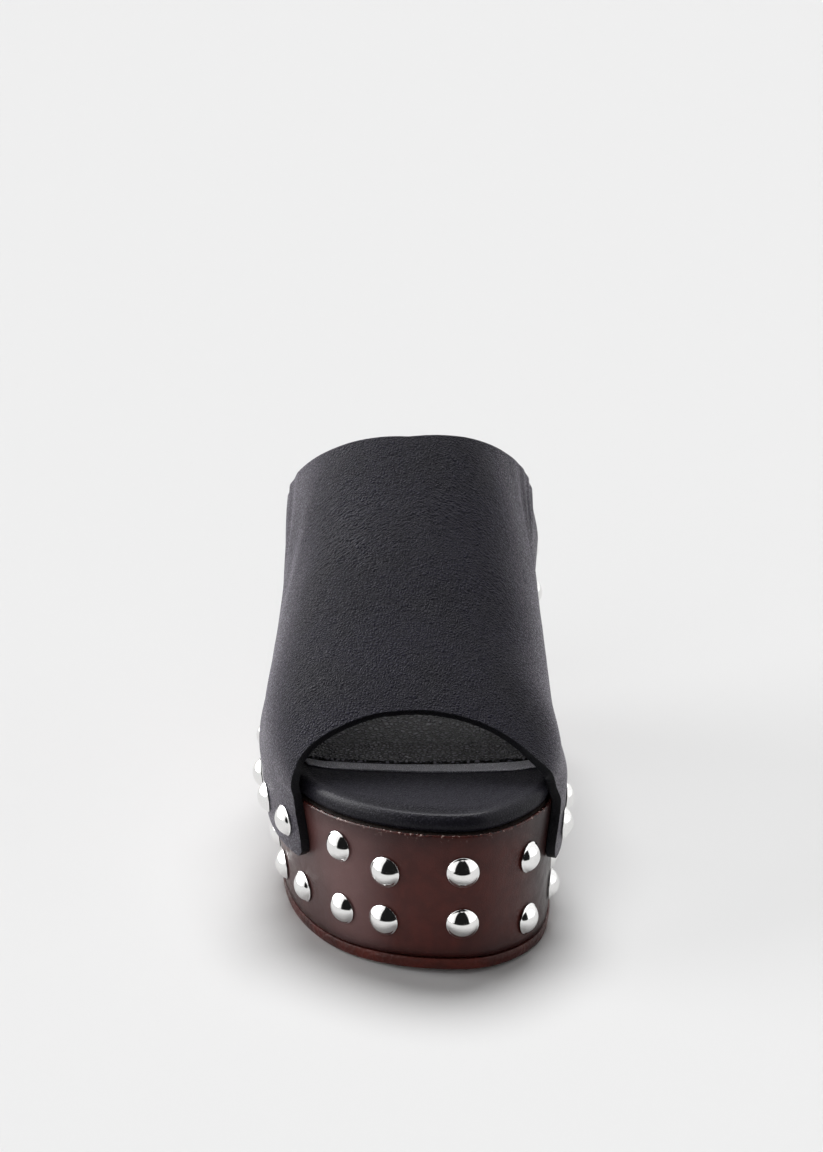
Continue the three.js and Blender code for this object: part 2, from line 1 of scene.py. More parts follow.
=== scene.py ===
import math
import bmesh
import bpy
import numpy as np
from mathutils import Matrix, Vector


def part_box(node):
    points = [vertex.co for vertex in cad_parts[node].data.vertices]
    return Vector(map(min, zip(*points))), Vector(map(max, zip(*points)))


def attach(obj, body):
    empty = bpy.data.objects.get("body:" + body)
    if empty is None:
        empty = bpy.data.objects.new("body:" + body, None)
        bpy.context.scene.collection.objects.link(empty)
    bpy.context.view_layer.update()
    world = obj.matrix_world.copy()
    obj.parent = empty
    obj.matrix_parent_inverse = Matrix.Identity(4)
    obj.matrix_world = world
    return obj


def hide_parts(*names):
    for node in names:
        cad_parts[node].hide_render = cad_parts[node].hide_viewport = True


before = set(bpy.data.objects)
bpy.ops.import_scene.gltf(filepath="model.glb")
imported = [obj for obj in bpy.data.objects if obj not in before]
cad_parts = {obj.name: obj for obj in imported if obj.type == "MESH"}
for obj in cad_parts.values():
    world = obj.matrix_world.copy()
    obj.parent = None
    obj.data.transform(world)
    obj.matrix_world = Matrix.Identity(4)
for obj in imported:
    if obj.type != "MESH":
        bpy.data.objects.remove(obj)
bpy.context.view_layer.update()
print("frame loaded:", len(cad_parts), "nodes")

mm = 0.001
lateral, medial = -1.0, 1.0

# The shoe's own sizes in millimetres, measured from the toe tip on the floor
shoe = {
    "length": 229.0,
    "ballWidth": 90.0,
    "toeHeight": 46.0,
    "heelHeight": 96.0,
    "vampRise": 69.0,
    "gap": 0.3,
    "tipX": -0.360,  # where the group's centring puts the toe frame's x = 0
}

# Top edge of the platform as shares of length and ball width, with the lean of each wall
outline = {
    "along": [0, .0087, .0306, .0655, .1135, .1834, .2707, .3581,
              .4585, .5677, .6769, .7773, .8734, .9432, .9825, 1],
    "lateral": [.1444, 0, -.1222, -.2389, -.3356, -.4256, -.4844, -.5022,
                -.4722, -.4111, -.3422, -.2978, -.2689, -.1944, -.0833, .0889],
    "medial": [.1444, .25, .3222, .3933, .4556, .4933, .5022, .4733,
               .4178, .3911, .4244, .4556, .44, .3611, .25, .0889],
    "leanLateral": [.05, .052, .06, .072, .085, .095, .1, .1, .095, .085, .075, .07, .065, .065, .065, .065],
    "leanMedial": [.05, .05, .05, .05, .052, .056, .06, .062, .062, .062, .063, .064, .065, .065, .065, .065],
}
topEdge = {
    "along": [0, .1092, .2183, .3057, .393, .524, .655, .7424, .8297, .917, 1],
    "up": [0, -.02, -.024, 0, .104, .364, .644, .816, .928, .98, 1],
}


def softCurve(xs, ys, first=None, last=None):
    # cubic through the points; each slope is the mean of the two chords, weighted by the other span
    xs, ys = np.asarray(xs, float), np.asarray(ys, float)
    span = np.diff(xs)
    chord = np.diff(ys) / span
    slopes = np.empty_like(ys)
    slopes[1:-1] = (chord[:-1] * span[1:] + chord[1:] * span[:-1]) / (span[:-1] + span[1:])
    slopes[0] = chord[0] if first is None else first
    slopes[-1] = chord[-1] if last is None else last

    def at(x):
        x = np.clip(x, xs[0], xs[-1])
        i = np.clip(np.searchsorted(xs, x, side="right") - 1, 0, len(span) - 1)
        t = (x - xs[i]) / span[i]
        rise = ys[i + 1] - ys[i]
        a = slopes[i] * span[i] - rise
        b = rise - slopes[i + 1] * span[i]
        return ys[i] + rise * t + t * (1 - t) * (a * (1 - t) + b * t)

    return at


def sized(values, size):
    return np.asarray(values, float) * size


def shareOf(y):  # way round the outline, 0 at the toe tip and 1 at the back of the heel
    return np.arccos(np.clip(1 - 2 * np.asarray(y, float) / shoe["length"], -1, 1)) / math.pi


def alongOf(share):
    return shoe["length"] * (1 - np.cos(math.pi * np.asarray(share, float))) / 2


outlineShares = shareOf(sized(outline["along"], shoe["length"]))


def edgeCurve(near, far):
    own = sized(outline[near], shoe["ballWidth"])
    other = sized(outline[far], shoe["ballWidth"])
    first = (own[1] - other[1]) / (2 * outlineShares[1])
    last = -(own[-2] - other[-2]) / (2 * (1 - outlineShares[-2]))
    return softCurve(outlineShares, own, first, last)


edgeLateral, edgeMedial = edgeCurve("lateral", "medial"), edgeCurve("medial", "lateral")
leanLateral = softCurve(outlineShares, outline["leanLateral"])
leanMedial = softCurve(outlineShares, outline["leanMedial"])
topShare = softCurve(sized(topEdge["along"], shoe["length"]), topEdge["up"])


def topHeight(y):
    return shoe["toeHeight"] + (shoe["heelHeight"] - shoe["toeHeight"]) * topShare(y)


def edgeAt(side, share):
    return np.where(side < 0, edgeLateral(share), edgeMedial(share))


def leanAt(side, share):
    return np.where(side < 0, leanLateral(share), leanMedial(share))


def normalAt(side, share):  # plan normal of the outline, pointing out of the shoe
    low, high = np.maximum(share - 1e-3, 0), np.minimum(share + 1e-3, 1)
    dx = edgeAt(side, high) - edgeAt(side, low)
    dy = alongOf(high) - alongOf(low)
    size = np.hypot(dx, dy)
    inside = (share > 0) & (share < 1)
    nx = np.where(inside, side * dy / size, 0.0)
    ny = np.where(inside, -side * dx / size, np.where(share <= 0, -1.0, 1.0))
    return nx, ny


def wallPoint(side, share, drop, offset):
    # side wall at a drop below its top edge: the edge moved along the plan normal by offset - lean * drop
    side, share, drop, offset = np.broadcast_arrays(side, share, drop, offset)
    nx, ny = normalAt(side, share)
    out = offset - leanAt(side, share) * drop
    y = alongOf(share)
    return np.stack([edgeAt(side, share) + nx * out, y + ny * out, topHeight(y) - drop], -1)


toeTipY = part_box("platform_wrap")[0][1]


def put(points):  # from the toe frame in millimetres to the part's frame in metres
    return np.asarray(points, float) * mm + np.array([shoe["tipX"] * mm, toeTipY, 0.0])


weld, sliver = 2e-6, 1e-7  # distances in metres below which points of a mesh are merged


def gridQuads(rows, cols, first=0):  # quads between neighbours of a grid of points
    index = first + np.arange(rows * cols).reshape(rows, cols)
    corners = [index[:-1, :-1], index[1:, :-1], index[1:, 1:], index[:-1, 1:]]
    return np.stack(corners, -1).reshape(-1, 4).tolist()


def gridPiece(name, points, masks=None, closed=True, capped=()):
    # mesh over a grid of points; each capped row is closed by one face
    rows, cols = points.shape[:2]
    caps = [list(range(row * cols, (row + 1) * cols - 1)) for row in capped]
    return finishMesh(name, points, gridQuads(rows, cols) + caps, masks, closed)


def addObject(name, data):
    item = bpy.data.objects.new(name, data)
    bpy.context.scene.collection.objects.link(item)
    return item


def finishMesh(name, points, faces, masks=None, closed=True):
    mesh = bpy.data.meshes.new(name)
    mesh.from_pydata(put(points.reshape(-1, 3)).tolist(), [], faces)
    for label, values in (masks or {}).items():
        layer = mesh.attributes.new(label, "FLOAT", "POINT")
        layer.data.foreach_set("value", np.asarray(values, float).ravel())
    work = bmesh.new()
    work.from_mesh(mesh)
    bmesh.ops.remove_doubles(work, verts=work.verts, dist=weld)
    bmesh.ops.dissolve_degenerate(work, edges=work.edges, dist=sliver)
    if closed:
        bmesh.ops.recalc_face_normals(work, faces=work.faces)
    work.to_mesh(mesh)
    work.free()
    mesh.polygons.foreach_set("use_smooth", [True] * len(mesh.polygons))
    return addObject(name, mesh)


def ringOfWalls(left, right, across):
    # closed ring of points in each row: lateral wall, over to the medial wall, back down it and under
    share = across[1:-1][None, :, None]
    over = left[:, -1:] + (right[:, -1:] - left[:, -1:]) * share
    under = right[:, :1] + (left[:, :1] - right[:, :1]) * share
    return np.concatenate([left, over, right[:, ::-1], under, left[:, :1]], axis=1)


def setAll(item, settings):
    for key, value in settings.items():
        setattr(item, key, value)


def softEdge(piece, width, angle):  # rounds the edges that are sharper than the angle
    limits = {"limit_method": "ANGLE", "angle_limit": math.radians(angle)}
    setAll(piece.modifiers.new("softEdge", "BEVEL"), {"width": width * mm, "segments": 3, **limits})


def setInputs(item, values):  # links a socket, and sets anything else as the input's own value
    for key, value in values.items():
        socket = item.inputs[key]
        if isinstance(value, bpy.types.NodeSocket):
            item.id_data.links.new(value, socket)
        else:
            socket.default_value = (*value, 1.0) if socket.type == "RGBA" else value


def addNode(tree, kind, values=None, **settings):
    item = tree.nodes.new(kind)
    setAll(item, settings)
    setInputs(item, values or {})
    return item.outputs


def follow(kind, values, **settings):  # node in the same tree as the sockets among its values
    tree = next(value.id_data for value in values.values() if isinstance(value, bpy.types.NodeSocket))
    return addNode(tree, kind, values, **settings)


def calc(operation, a, b=0.0):
    return follow("ShaderNodeMath", {0: a, 1: b}, operation=operation)[0]


def times(a, b):
    return calc("MULTIPLY", a, b)


def plus(a, b):
    return calc("ADD", a, b)


def minus(a, b):
    return calc("SUBTRACT", a, b)


def ramp(value, low, high, toLow=0.0, toHigh=1.0):
    ends = {"Value": value, "From Min": low, "From Max": high, "To Min": toLow, "To Max": toHigh}
    return follow("ShaderNodeMapRange", ends, interpolation_type="SMOOTHSTEP")["Result"]


def mixValue(share, a, b):
    return follow("ShaderNodeMix", {0: share, 2: a, 3: b})[0]


def mixColour(share, a, b):
    return follow("ShaderNodeMix", {0: share, 6: a, 7: b}, data_type="RGBA")[2]


def noise(place, scale, detail):
    return follow("ShaderNodeTexNoise", {"Vector": place, "Scale": scale, "Detail": detail})


def vector(operation, values):
    return follow("ShaderNodeVectorMath", values, operation=operation)


def axisOf(place, axis):
    return follow("ShaderNodeSeparateXYZ", {0: place})[axis]


def newGroup(name, numbers, results):  # group of a place and numbers, with values as its results
    group = bpy.data.node_groups.new(name, "ShaderNodeTree")
    group.interface.new_socket(name="Vector", in_out="INPUT", socket_type="NodeSocketVector")
    for label, value in numbers.items():
        socket = group.interface.new_socket(name=label, in_out="INPUT", socket_type="NodeSocketFloat")
        socket.default_value = value
    for label in results:
        group.interface.new_socket(name=label, in_out="OUTPUT", socket_type="NodeSocketFloat")
    return group, group.nodes.new("NodeGroupInput").outputs, group.nodes.new("NodeGroupOutput")


grainShape = {
    "bendScale": 260.0, "bendReach": 0.0016,
    "crumbRatio": 2.3,  # crumbs to the width of a pebble
    "pebbleEdge": 0.32, "crumbEdge": 0.35, "pebbleShare": 0.6, "crumbShare": 0.25,
    "lineStretch": (3.4, 1.0, 0.9),
    "lines": [((0.0, -0.45, 0.34), 900.0), ((0.0, 0.45, -0.3), 800.0)],  # turn and scale of each direction
    "leanScale": 40.0, "leanRange": (0.42, 0.58), "ridge": 0.10, "patchScale": 34.0, "patchSeed": 3.0,
    "patchRange": (0.40, 0.62), "paintedHighlightLeast": 0.25,
}


def makeLeatherGrain():
    # pebbles from the distance to cell borders, finer pebbles over them, and stretched wrinkles in patches
    shape = grainShape
    numbers = {"Cell": 0.001, "Wrinkle": 0.5, "Lean": 0.5}
    group, given, out = newGroup("leatherGrain", numbers, ("Height", "Pits"))
    place = given["Vector"]
    bend = noise(place, shape["bendScale"], 2.0)["Color"]
    centred = vector("SUBTRACT", {0: bend, 1: (.5, .5, .5)})[0]
    pushed = vector("SCALE", {0: centred, "Scale": shape["bendReach"]})[0]
    moved = vector("ADD", {0: place, 1: pushed})[0]

    def rounded(scale, edge):  # cells that fall to 0 on their borders
        values = {"Vector": moved, "Scale": scale}
        cell = follow("ShaderNodeTexVoronoi", values, feature="DISTANCE_TO_EDGE")
        return ramp(cell["Distance"], 0.0, edge)

    density = calc("DIVIDE", 1.0, given["Cell"])
    pebble = rounded(density, shape["pebbleEdge"])
    crumb = rounded(times(density, shape["crumbRatio"]), shape["crumbEdge"])
    drawn = []
    for turn, scale in shape["lines"]:
        values = {"Vector": moved, "Rotation": turn, "Scale": shape["lineStretch"]}
        turned = follow("ShaderNodeMapping", values, vector_type="TEXTURE")[0]
        drawn.append(noise(turned, scale, 2.0)["Fac"])
    lean = plus(noise(place, shape["leanScale"], 1.0)["Fac"], minus(given["Lean"], 0.5))
    line = mixValue(ramp(lean, *shape["leanRange"]), *drawn)
    wrinkle = ramp(calc("ABSOLUTE", minus(line, 0.5)), 0.0, shape["ridge"])
    values = {"Vector": place, "Scale": shape["patchScale"], "Detail": 1.0, "W": shape["patchSeed"]}
    clouds = follow("ShaderNodeTexNoise", values, noise_dimensions="4D")["Fac"]
    patch = ramp(clouds, *shape["patchRange"], shape["paintedHighlightLeast"], 1.0)
    amount = times(patch, given["Wrinkle"])
    base = plus(times(pebble, shape["pebbleShare"]), times(crumb, shape["crumbShare"]))
    height = plus(base, times(wrinkle, amount))
    setInputs(out, {"Height": height, "Pits": minus(1.0, pebble)})
    return group


def makeRubbedTone():
    # two sizes of soft cloud, as in a hand-rubbed finish
    group, given, out = newGroup("rubbedTone", {"Size": 0.02}, ("Broad", "Fine"))
    density = calc("DIVIDE", 1.0, given["Size"])
    for label, ratio, detail in (("Broad", 1.0, 3.0), ("Fine", 9.0, 4.0)):
        clouds = noise(given["Vector"], times(density, ratio), detail)["Fac"]
        setInputs(out, {label: ramp(clouds, 0.3, 0.7)})
    return group


leatherGrain, rubbedTone = makeLeatherGrain(), makeRubbedTone()


def newMaterial(name):
    material = bpy.data.materials.new(name)
    material.use_nodes = True
    tree = material.node_tree
    tree.nodes.clear()
    shader = tree.nodes.new("ShaderNodeBsdfPrincipled")
    addNode(tree, "ShaderNodeOutputMaterial", {0: shader.outputs[0]})
    return material, shader, addNode(tree, "ShaderNodeTexCoord")["Object"]


def useGroup(group, values):
    return follow("ShaderNodeGroup", values, node_tree=group)


def addBump(shader, height, depth):
    normal = follow("ShaderNodeBump", {"Height": height, "Distance": depth, "Strength": 1.0})[0]
    setInputs(shader, {"Normal": normal})


def maskValue(shader, name):
    return addNode(shader.id_data, "ShaderNodeAttribute", attribute_name=name)["Fac"]


def rubbedFinish(name, look):
    # colour and roughness between two values each by soft clouds, with the fine clouds as a shallow bump
    material, shader, place = newMaterial(name)
    if "stretch" in look:
        place = follow("ShaderNodeMapping", {"Vector": place, "Scale": look["stretch"]})[0]
    tone = useGroup(rubbedTone, {"Vector": place, "Size": look["size"]})
    colour = mixColour(tone[look["colourBy"]], look["dark"], look["light"])
    if "speckle" in look:
        colour = mixColour(times(tone["Fine"], look["speckle"]), colour, look["dark"])
    rough = ramp(tone[look["roughBy"]], 0, 1, *look["rough"])
    setInputs(shader, {"Base Color": colour, "Roughness": rough, **look["fixed"]})
    if "depth" in look:
        addBump(shader, tone["Fine"], look["depth"])
    return material


leatherLook = {  # shared by the black leathers
    "cloud": 0.02, "cloudShare": 0.6, "pitShare": 0.8, "pitTone": 0.3, "glossClouds": 0.08, "glossPits": 0.12,
    "fixed": {"Specular Tint": (.86, .83, 1.0), "Sheen Roughness": 0.25, "Sheen Tint": (.88, .86, 1.0)},
}


def blackLeather(name, look):
    # grained hide with soft clouds of tone and darker pits, partly the grain's own tone and partly painted
    # shade
    shared = leatherLook
    material, shader, place = newMaterial(name)
    wrinkle, lean = look["wrinkle"], 0.5
    if "creased" in look:  # wrinkles deepen by the mesh's crease mask and lean up towards the instep
        wrinkle = plus(times(maskValue(shader, "crease"), look["creased"]), wrinkle)
        lean = ramp(axisOf(place, 0), *look["leanAcross"])
    grain = useGroup(leatherGrain,
                     {"Vector": place, "Cell": look["cell"], "Wrinkle": wrinkle, "Lean": lean})
    tone = useGroup(rubbedTone, {"Vector": place, "Size": shared["cloud"]})
    colour = mixColour(times(tone["Broad"], shared["cloudShare"]), look["dark"], look["light"])
    pitColour = tuple(v * shared["pitTone"] for v in look["dark"])
    colour = mixColour(times(grain["Pits"], shared["pitShare"]), colour, pitColour)
    if "paintedSheenColour" in look:  # painted sheen: paler where the leather turns away from the eye, standing in for grazing reflection
        away = addNode(shader.id_data, "ShaderNodeLayerWeight")["Facing"]
        ridges = minus(1.0, times(grain["Pits"], look["paintedSheenPits"]))
        pale = times(ramp(away, look["paintedSheenFrom"], 1.0, 0.0, look["paintedSheenShare"]), ridges)
        colour = mixColour(pale, colour, look["paintedSheenColour"])
    if "coat" in look:  # polished on the rolled edge, with painted shade darkening the valley behind it
        setInputs(shader, {"Coat Weight": times(maskValue(shader, "roll"), look["coat"]),
                           "Coat Roughness": look["coatRough"]})
        valley = times(maskValue(shader, "valley"), look["valleyShare"])
        colour = mixColour(valley, colour, look["valleyShadeColour"])
    clouds = times(tone["Fine"], shared["glossClouds"])
    gloss = plus(clouds, times(grain["Pits"], shared["glossPits"]))
    setInputs(shader, {"Base Color": colour, "Roughness": plus(gloss, look["rough"]),
                       "Specular IOR Level": look["mirror"], "Sheen Weight": look["sheen"],
                       **shared["fixed"]})
    addBump(shader, grain["Height"], look["depth"])
    return material


# Upper: sections along the shoe, mouth at the toe and topline at the back
upperShape = {
    "thick": 2.8,
    "over": 18.0,
    "feather": 10.0,
    "fullness": 2.44,
    "featherShare": 0.36,
    "rows": 150,
    "halfColumns": 120,
    "roundEdge": 0.55,
    "roundAngle": 60,
    "sectionAlong": [0, .0655, .131, .1965, .2838, .3712, .4585, .5546, .655, .786],
    "crest": [-.058, .1101, .2609, .4294, .6329, .8054, .9231, 1.0219, 1.0568, 1.0217],
    "middle": [.1444, .0889, .0556, .0333, .0167, 0, -.0056, -.0111, -.0111, 0],
    "lateral": [-.1111, .2833, .4035, .4739, .5144, .4963, .4717, .4582, .4582, .4222],
    "medial": [.1778, .4289, .486, .5143, .4953, .482, .4641, .4397, .4468, .4667],
    "widest": [.55, .55, .6, .75, .95, 1.05, 1.2, 1.4, 1.65, 1.8],
    "mouthGirth": [0, .025, .06, .12, .22, .32, .42, .52, .6, .68, .76, .84, .92, 1],
    "mouthLateral": [.1354, .1282, .1262, .1272, .1316, .1332, .1318,
                     .1347, .1435, .152, .1598, .1673, .1743, .1762],
    "mouthMedial": [.1275, .1205, .1185, .1240, .1338, .1336, .1274,
                    .1284, .1303, .1358, .1468, .1589, .1688, .1762],
    "toplineGirth": [0, .16, .3, .426, .522, .607, .704, .795, .9, 1],
    "toplineLateral": [.7118, .7162, .6972, .6605, .6215, .5934, .565, .5459, .5348, .531],
    "toplineMedial": [.7205, .7271, .7123, .6739, .6385, .6078, .5778, .5567, .5404, .531],
}
sectionAlong = sized(upperShape["sectionAlong"], shoe["length"])
sectionCrest = softCurve(sectionAlong, sized(upperShape["crest"], shoe["vampRise"]))
sectionMiddle = softCurve(sectionAlong, sized(upperShape["middle"], shoe["ballWidth"]))
sectionLateral = softCurve(sectionAlong, sized(upperShape["lateral"], shoe["ballWidth"]))
sectionMedial = softCurve(sectionAlong, sized(upperShape["medial"], shoe["ballWidth"]))
sectionWidest = softCurve(sectionAlong, sized(upperShape["widest"], upperShape["feather"]))


def upperPoint(side, y, girth):
    # up to the feather share the leather lies on the platform wall and leans over to its widest line;
    # above it x and z follow a quarter of a superellipse from the widest point to the crest
    shape = upperShape
    side, y, girth = np.broadcast_arrays(side, y, girth)
    share, edge, widest = shareOf(y), topHeight(y), sectionWidest(y)
    wide = side * np.where(side < 0, sectionLateral(y), sectionMedial(y))
    drop = shape["over"] - (shape["over"] + widest) * girth / shape["featherShare"]
    cover = shape["thick"] + shoe["gap"]
    low = wallPoint(side, share, np.maximum(drop, 0), cover)
    lift = np.clip(-drop / widest, 0, 1)
    lowX = low[..., 0] + (wide - low[..., 0]) * lift * lift * (3 - 2 * lift)
    arch = np.clip((girth - shape["featherShare"]) / (1 - shape["featherShare"]), 0, 1)
    angle = math.pi / 2 * arch ** (shape["fullness"] / 2)
    across = np.maximum(np.cos(angle), 0) ** (2 / shape["fullness"])
    up = np.maximum(np.sin(angle), 0) ** (2 / shape["fullness"])
    middle = sectionMiddle(y)
    base = wallPoint(side, share, 0, cover)
    high = np.stack([
        middle + (wide - middle) * across,
        y + (base[..., 1] - y) * np.maximum(np.cos(angle), 0),
        edge + widest + (sectionCrest(y) - widest) * up,
    ], -1)
    below = np.stack([lowX, low[..., 1], edge - drop], -1)
    return np.where((girth <= shape["featherShare"])[..., None], below, high)


def surfaceNormals(points):
    # cross product of the two grid directions, which points away from the foot
    normal = np.cross(np.gradient(points, axis=1), np.gradient(points, axis=0))
    return normal / np.maximum(np.linalg.norm(normal, axis=-1, keepdims=True), 1e-9)




# Soft folds of the upper: side, points (distance along, girth), width and depth in millimetres
folds = [
    {"side": medial, "along": [150, 138, 122], "girth": [.50, .44, .38], "width": 2.6, "depth": 1.1},
    {"side": medial, "along": [146, 130, 112], "girth": [.56, .50, .42], "width": 2.2, "depth": 0.7},
    {"side": medial, "along": [140, 120, 100], "girth": [.62, .56, .47], "width": 2.4, "depth": 0.45},
    {"side": lateral, "along": [150, 136, 120], "girth": [.50, .46, .40], "width": 2.6, "depth": 0.8},
    {"side": lateral, "along": [142, 124, 106], "girth": [.58, .53, .46], "width": 2.4, "depth": 0.45},
    {"side": lateral, "along": [122, 104, 90], "girth": [.66, .60, .52], "width": 3.0, "depth": 0.35},
]
foldShape = {
    "samples": 28, "fade": 0.7, "ridge": 0.5,
    "ridgeAway": 1.9,  # in widths of the fold
    "ridgeWidth": 0.9,
}


def foldDepth(points):
    # each fold is a trough exp(-d^2) about its line with a low ridge beside it, fading towards both ends
    shape = foldShape
    total = np.zeros(points.shape[:-1])
    t = np.linspace(0, 1, shape["samples"])
    for fold in folds:
        knots = np.linspace(0, 1, len(fold["along"]))
        along, girth = softCurve(knots, fold["along"])(t), softCurve(knots, fold["girth"])(t)
        line = upperPoint(fold["side"], along, girth)
        gaps = np.linalg.norm(points[..., None, :] - line, axis=-1)
        nearest = gaps.argmin(-1)
        away = gaps.min(-1) / fold["width"]
        fade = np.sin(math.pi * np.clip(t[nearest], 0.02, 0.98)) ** shape["fade"]
        ridge = np.exp(-((away - shape["ridgeAway"]) / shape["ridgeWidth"]) ** 2)
        trough = np.exp(-away ** 2) - shape["ridge"] * ridge
        total -= fold["depth"] * fade * trough
    return total


# Patches of fine wrinkles: side, distance along, girth, reach along and across in millimetres, strength
creases = [
    (lateral, 93, .86, 13, 9, 1.0), (lateral, 112, .70, 12, 9, .8), (lateral, 101, .96, 9, 8, .6),
    (medial, 100, .93, 9, 9, .5), (medial, 115, .60, 14, 10, .9), (lateral, 118, .55, 10, 8, .7),
    (medial, 82, .80, 12, 10, .35), (lateral, 50, .72, 12, 8, .35), (medial, 45, .62, 12, 8, .4),
]


def creaseMask(points):
    # sum of soft spots exp(-d^2), with d measured along the shoe and across it in the two reaches
    total = np.zeros(points.shape[:-1])
    for side, along, girth, reachAlong, reachAcross, strength in creases:
        offset = points - upperPoint(side, along, girth)
        across = np.hypot(offset[..., 0], offset[..., 2])
        total += strength * np.exp(-(offset[..., 1] / reachAlong) ** 2 - (across / reachAcross) ** 2)
    return np.clip(total, 0, 1)


upperHide = {
    "dark": (.0010, .0009, .0034), "light": (.0072, .0060, .0190), "cell": 0.00095, "wrinkle": 0.30,
    "creased": 1.7, "leanAcross": (-0.012, 0.020), "depth": 0.00054, "rough": 0.26, "mirror": 0.085,
    # the pale entries paint a sheen where the leather turns away from the eye
    "sheen": 0.12, "paintedSheenColour": (.370, .342, .400), "paintedSheenShare": 0.9, "paintedSheenFrom": 0.24,
    "paintedSheenPits": 0.75,
}
lining = {
    "dark": (.012, .012, .014), "light": (.018, .018, .02), "cell": 0.0007, "wrinkle": 0.2,
    "depth": 0.00008, "rough": 0.5, "mirror": 0.25, "sheen": 0.12,
}
edgePaint = {  # black dressing on the cut edges of the leather
    "size": 0.004, "colourBy": "Fine", "dark": (.0035, .0035, .0045), "light": (.008, .008, .010),
    "roughBy": "Broad", "rough": (0.32, 0.5), "depth": 0.0001, "fixed": {"Specular IOR Level": 0.2},
}


def edgeLine(name, side, girth):  # distance along the shoe of the mouth or the topline at a girth
    lines = [softCurve(upperShape[name + "Girth"], sized(upperShape[name + word], shoe["length"]))(girth)
             for word in ("Lateral", "Medial")]
    return np.where(side < 0, *lines)


def makeUpper():
    # outer surface from mouth to topline, lateral side up to the crest and down the medial side,
    # with its folds moved along the normals and the wall added inside
    shape = upperShape
    half = shape["halfColumns"]
    girth = np.concatenate([np.linspace(0, 1, half + 1), np.linspace(1, 0, half + 1)[1:]])
    side = np.where(np.arange(2 * half + 1) <= half, lateral, medial)
    mouth, back = edgeLine("mouth", side, girth), edgeLine("topline", side, girth)
    t = np.linspace(0, 1, shape["rows"] + 1)[:, None]
    y = mouth + (back - mouth) * t
    outer = upperPoint(side, y, np.broadcast_to(girth, y.shape))
    outer = outer + surfaceNormals(outer) * foldDepth(outer)[..., None]
    piece = gridPiece("upperLeather", outer, {"crease": creaseMask(outer)}, closed=False)
    crestFace = piece.data.polygons[(shape["rows"] // 2) * 2 * half + half]
    if crestFace.normal.z < 0:
        piece.data.flip_normals()
    wall = {"thickness": shape["thick"] * mm, "offset": -1.0, "use_even_offset": True, "use_rim": True,
            "material_offset": 1, "material_offset_rim": 2}
    setAll(piece.modifiers.new("wall", "SOLIDIFY"), wall)
    softEdge(piece, shape["roundEdge"], shape["roundAngle"])
    for material in (blackLeather("upperHide", upperHide), blackLeather("lining", lining),
                     rubbedFinish("edgePaint", edgePaint)):
        piece.data.materials.append(material)
    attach(piece, "root")
    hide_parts("upper")


makeUpper()
print("upper made")

# Platform underside, heel and outsole along the shoe
sole = {
    "thick": 3.3, "flange": 0.4, "tipThick": 5.0, "toeSpring": 2.5, "springEnd": 34.0,
    "archStart": 92.0, "archTop": 50.0, "soleEnd": 148.2, "breastTop": 150.0, "breastFoot": 155.0,
    "breastClear": 0.6, "archAlong": [0, .16, .4, .65, .85, 1], "archUp": [0, .045, .3, .68, .93, 1],
    "rows": 220,
    "rowGap": 0.002,  # least share between the last row and the end
    "wallRows": 9, "topColumns": 13, "soleBulge": 0.25, "tipBulge": 0.1, "roundEdge": 0.35,
    "roundAngle": 40,
}
archCurve = softCurve(sole["archAlong"], sole["archUp"], 0, 0)


def floorHeight(y):  # underside of the outsole: toe spring, flat tread, arch
    spring = sole["toeSpring"] * np.clip(1 - y / sole["springEnd"], 0, None) ** 2
    arch = sole["archTop"] * archCurve((y - sole["archStart"]) / (sole["breastTop"] - sole["archStart"]))
    return np.where(y < sole["archStart"], spring, arch)


def blockBottom(y):  # underside of the block: over the outsole, then down the breast to the heel piece
    arch = floorHeight(np.minimum(y, sole["breastTop"])) + sole["thick"] + shoe["gap"]
    roof = sole["archTop"] + sole["thick"] + shoe["gap"]
    down = np.clip((y - sole["breastTop"]) / (sole["breastFoot"] - sole["breastTop"]), 0, 1)
    return np.where(y <= sole["breastTop"], arch, roof + (sole["tipThick"] + shoe["gap"] - roof) * down)


def ringShares(count, extra=()):  # shares from toe to heel on the lateral side and back on the medial side
    half = np.unique(np.round(np.concatenate([np.linspace(0, 1, count + 1), shareOf(np.array(extra))]), 6))
    share = np.concatenate([half, half[::-1][1:]])
    side = np.where(np.arange(len(share)) < len(half), lateral, medial)
    return side, share


wrapShape = {
    "thick": 1.2, "ring": 300, "wallRows": 22,
    "lipInset": [0.0, 0.04, 0.18, 0.42, 0.72, 1.0, 1.14, 1.2],
    "lipDrop": [0.75, 0.40, 0.14, 0.0, 0.0, 0.12, 0.35, 0.75], "lipReach": 0.5, "roughLip": 0.10,
    "lipWaves": (410, 1730, 2900),
}
wrapLook = {
    "cloud": 0.035, "cell": 0.0006, "wrinkle": 0.2, "depth": 0.00005,
    "body": [(.048, .016, .0145), (.078, .0165, .0125)], "speck": (.026, .0085, .0085),
    "speckShare": 0.35,
    "paintedHighlightRise": (-0.038, -0.020),  # places across the shoe, in metres
    "paintedHighlightFall": (-0.018, -0.004), "paintedHighlightClouds": 0.3, "paintedHighlightLeast": 0.35,
    "paintedHighlightColour": (.205, .120, .118), "shadeRise": (0.030, 0.043), "shadeShare": 0.75,
    "shadeColour": (.006, .004, .004),
    "darkerTopEnd": 0.16,  # shares of the way down the wall
    "darkerTop": 0.55, "darkerFootStart": 0.88, "darkerFoot": 0.45, "darkerEdgeColour": (.020, .0068, .0068),
    "fibreScale": 900.0, "fibres": [(.012, .004, .004), (.075, .018, .014), (.60, .46, .42)],
    "redFibres": (0.38, 0.52), "paintedGlintFibres": (0.62, 0.68), "rough": 0.30, "roughClouds": 0.10,
    "lipGloss": 0.2, "fixed": {"Specular IOR Level": 0.16, "Coat Weight": 0.12, "Coat Roughness": 0.22},
}


